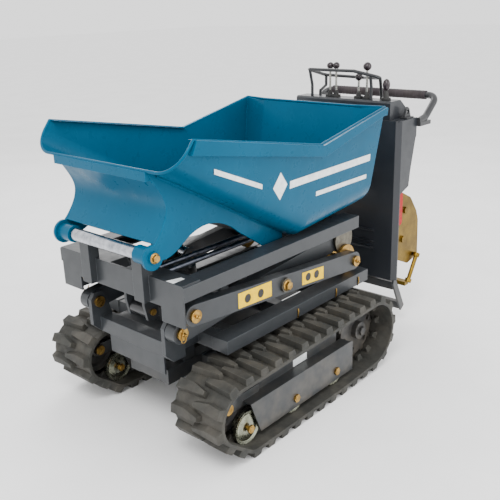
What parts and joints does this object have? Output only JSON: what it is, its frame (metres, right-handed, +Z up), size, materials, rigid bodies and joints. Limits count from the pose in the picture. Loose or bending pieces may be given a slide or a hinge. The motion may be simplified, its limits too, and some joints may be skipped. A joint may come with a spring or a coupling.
{
  "type": "power wheelbarrow",
  "caption": "Tracked power wheelbarrow: blue forward-tipping skip on a scissor lift above rubber tracks, with a rear engine tower, hand levers and a U-shaped handlebar.",
  "frame": {"origin": "on the ground under the middle of the bounding box", "axes": "+Z up, the skip tips toward -Y, the operator stands at +Y, +X is the operator's left"},
  "size_m": [0.75, 1.406, 0.987],
  "materials": {
    "frame_grey": "satin dark grey paint",
    "tower_dark": "satin charcoal paint",
    "skip_blue": "gloss blue paint",
    "track_rubber": "worn matt rubber",
    "wheel_black": "black painted casting",
    "zinc_yellow": "yellow passivated zinc plate",
    "chrome_bar": "polished hard chrome",
    "bright_pipe": "bright zinc pipe",
    "ram_black": "black paint",
    "motor_grey": "dark cast housing",
    "engine_iron": "grey cast iron and aluminium",
    "engine_red": "gloss red paint",
    "tank_black": "black paint",
    "bar_black": "black powder coat",
    "foam_black": "closed-cell foam",
    "boot_rubber": "moulded rubber",
    "knob_black": "black phenolic knob on zinc rod"
  },
  "bodies": {
    "chassis": {"track_belt_left": "track_rubber", "tread_lugs_left": "track_rubber", "track_frame_left": "frame_grey", "drive_motor_left": "motor_grey", "track_belt_right": "track_rubber", "tread_lugs_right": "track_rubber", "track_frame_right": "frame_grey", "drive_motor_right": "motor_grey", "chassis_frame": "frame_grey", "lower_frame": "frame_grey", "tower_legs": "frame_grey", "tower_sheet": "tower_dark", "console_deck": "tower_dark", "wheel_axles": "zinc_yellow", "frame_pins": "zinc_yellow", "engine_guard": "zinc_yellow", "guard_stay": "zinc_yellow", "engine_block": "engine_iron", "engine_shroud": "engine_red", "hydraulic_tank": "tank_black", "handlebar_tube": "bar_black", "lever_guard": "bar_black", "lifting_eyes": "bar_black", "handlebar_grip": "foam_black", "lever_boots": "boot_rubber"},
    "inner_arms": {"inner_arms": "frame_grey", "inner_arm_pins": "zinc_yellow", "lift_ram_base_pin": "zinc_yellow"},
    "outer_arms": {"outer_arms": "frame_grey", "outer_arm_pins": "zinc_yellow", "lift_ram_eye_pin": "zinc_yellow"},
    "top_frame": {"top_frame": "frame_grey", "hinge_tube": "chrome_bar", "top_frame_pins": "zinc_yellow", "feed_pipes": "bright_pipe", "tip_ram_base_pin": "zinc_yellow"},
    "skip": {"skip_tub": "skip_blue", "skip_chin": "skip_blue", "hinge_bushes": "skip_blue", "tip_ram_eye_pin": "zinc_yellow"},
    "tip_barrel": {"tip_barrel": "ram_black"},
    "tip_rod": {"tip_rod": "chrome_bar"},
    "lift_barrel": {"lift_barrel": "ram_black"},
    "lift_rod": {"lift_rod": "chrome_bar"},
    "sprocket_left": {"sprocket_left": "wheel_black"},
    "idler_left": {"idler_left": "wheel_black"},
    "roller_front_left": {"roller_front_left": "zinc_yellow"},
    "roller_middle_left": {"roller_middle_left": "zinc_yellow"},
    "roller_rear_left": {"roller_rear_left": "zinc_yellow"},
    "sprocket_right": {"sprocket_right": "wheel_black"},
    "idler_right": {"idler_right": "wheel_black"},
    "roller_front_right": {"roller_front_right": "zinc_yellow"},
    "roller_middle_right": {"roller_middle_right": "zinc_yellow"},
    "roller_rear_right": {"roller_rear_right": "zinc_yellow"},
    "lever_left_pair_outer": {"lever_left_pair_outer": "knob_black"},
    "lever_left_pair_inner": {"lever_left_pair_inner": "knob_black"},
    "lever_centre": {"lever_centre": "knob_black"},
    "lever_throttle": {"lever_throttle": "knob_black"},
    "lever_side": {"lever_side": "knob_black"}
  },
  "joints": [
    {"name": "lift", "type": "hinge", "parent": "chassis", "child": "inner_arms", "pos_m": [0, -0.604, 0.369], "axis": [1, 0, 0], "range_deg": [0, 40]},
    {"name": "scissor", "type": "hinge", "parent": "inner_arms", "child": "outer_arms", "pos_m": [0, -0.231, 0.403], "axis": [1, 0, 0], "range_deg": [-80, 0]},
    {"name": "level", "type": "hinge", "parent": "outer_arms", "child": "top_frame", "pos_m": [0, -0.604, 0.437], "axis": [1, 0, 0], "range_deg": [0, 40]},
    {"name": "lift_barrel_swing", "type": "hinge", "parent": "inner_arms", "child": "lift_barrel", "pos_m": [0, -0.3467, 0.2651], "axis": [1, 0, 0], "range_deg": [-40, 0]},
    {"name": "lift_rod_swing", "type": "hinge", "parent": "outer_arms", "child": "lift_rod", "pos_m": [0, -0.3869, 0.493], "axis": [1, 0, 0], "range_deg": [0, 40]},
    {"name": "tip", "type": "hinge", "parent": "top_frame", "child": "skip", "pos_m": [0, -0.67, 0.601], "axis": [1, 0, 0], "range_deg": [0, 80]},
    {"name": "tip_barrel_swing", "type": "hinge", "parent": "top_frame", "child": "tip_barrel", "pos_m": [0, -0.5643, 0.3744], "axis": [1, 0, 0], "range_deg": [0, 40]},
    {"name": "tip_rod_swing", "type": "hinge", "parent": "skip", "child": "tip_rod", "pos_m": [0, -0.4274, 0.6615], "axis": [1, 0, 0], "range_deg": [-40, 0]},
    {"name": "drive_left", "type": "hinge", "parent": "chassis", "child": "sprocket_left", "pos_m": [0.285, 0.102, 0.141], "axis": [1, 0, 0], "continuous": true},
    {"name": "idler_spin_left", "type": "hinge", "parent": "chassis", "child": "idler_left", "pos_m": [0.285, -0.551, 0.152], "axis": [1, 0, 0], "continuous": true},
    {"name": "roller_spin_front_left", "type": "hinge", "parent": "chassis", "child": "roller_front_left", "pos_m": [0.285, -0.499, 0.078], "axis": [1, 0, 0], "continuous": true},
    {"name": "roller_spin_middle_left", "type": "hinge", "parent": "chassis", "child": "roller_middle_left", "pos_m": [0.285, -0.291, 0.078], "axis": [1, 0, 0], "continuous": true},
    {"name": "roller_spin_rear_left", "type": "hinge", "parent": "chassis", "child": "roller_rear_left", "pos_m": [0.285, -0.083, 0.078], "axis": [1, 0, 0], "continuous": true},
    {"name": "drive_right", "type": "hinge", "parent": "chassis", "child": "sprocket_right", "pos_m": [-0.285, 0.102, 0.141], "axis": [1, 0, 0], "continuous": true},
    {"name": "idler_spin_right", "type": "hinge", "parent": "chassis", "child": "idler_right", "pos_m": [-0.285, -0.551, 0.152], "axis": [1, 0, 0], "continuous": true},
    {"name": "roller_spin_front_right", "type": "hinge", "parent": "chassis", "child": "roller_front_right", "pos_m": [-0.285, -0.499, 0.078], "axis": [1, 0, 0], "continuous": true},
    {"name": "roller_spin_middle_right", "type": "hinge", "parent": "chassis", "child": "roller_middle_right", "pos_m": [-0.285, -0.291, 0.078], "axis": [1, 0, 0], "continuous": true},
    {"name": "roller_spin_rear_right", "type": "hinge", "parent": "chassis", "child": "roller_rear_right", "pos_m": [-0.285, -0.083, 0.078], "axis": [1, 0, 0], "continuous": true},
    {"name": "lever_left_pair_outer_tilt", "type": "hinge", "parent": "chassis", "child": "lever_left_pair_outer", "pos_m": [-0.075, 0.468, 0.842], "axis": [1, 0, 0], "range_deg": [-9, 9]},
    {"name": "lever_left_pair_inner_tilt", "type": "hinge", "parent": "chassis", "child": "lever_left_pair_inner", "pos_m": [-0.048, 0.468, 0.842], "axis": [1, 0, 0], "range_deg": [-9, 9]},
    {"name": "lever_centre_tilt", "type": "hinge", "parent": "chassis", "child": "lever_centre", "pos_m": [0.051, 0.468, 0.842], "axis": [1, 0, 0], "range_deg": [-9, 9]},
    {"name": "lever_throttle_tilt", "type": "hinge", "parent": "chassis", "child": "lever_throttle", "pos_m": [0.086, 0.468, 0.842], "axis": [1, 0, 0], "range_deg": [-9, 9]},
    {"name": "lever_side_tilt", "type": "hinge", "parent": "chassis", "child": "lever_side", "pos_m": [0.166, 0.468, 0.842], "axis": [1, 0, 0], "range_deg": [-9, 9]}
  ],
  "couplings": [
    {"joint": "scissor", "follows": "lift", "ratio": -2},
    {"joint": "level", "follows": "lift", "ratio": 1},
    {"joint": "lift_barrel_swing", "follows": "lift", "ratio": -1},
    {"joint": "lift_rod_swing", "follows": "lift", "ratio": 1},
    {"joint": "tip_barrel_swing", "follows": "tip", "ratio": 0.5},
    {"joint": "tip_rod_swing", "follows": "tip", "ratio": -0.5},
    {"joint": "idler_spin_left", "follows": "drive_left", "ratio": 1.3506},
    {"joint": "roller_spin_front_left", "follows": "drive_left", "ratio": 2.08},
    {"joint": "roller_spin_middle_left", "follows": "drive_left", "ratio": 2.08},
    {"joint": "roller_spin_rear_left", "follows": "drive_left", "ratio": 2.08},
    {"joint": "idler_spin_right", "follows": "drive_right", "ratio": 1.3506},
    {"joint": "roller_spin_front_right", "follows": "drive_right", "ratio": 2.08},
    {"joint": "roller_spin_middle_right", "follows": "drive_right", "ratio": 2.08},
    {"joint": "roller_spin_rear_right", "follows": "drive_right", "ratio": 2.08}
  ]
}
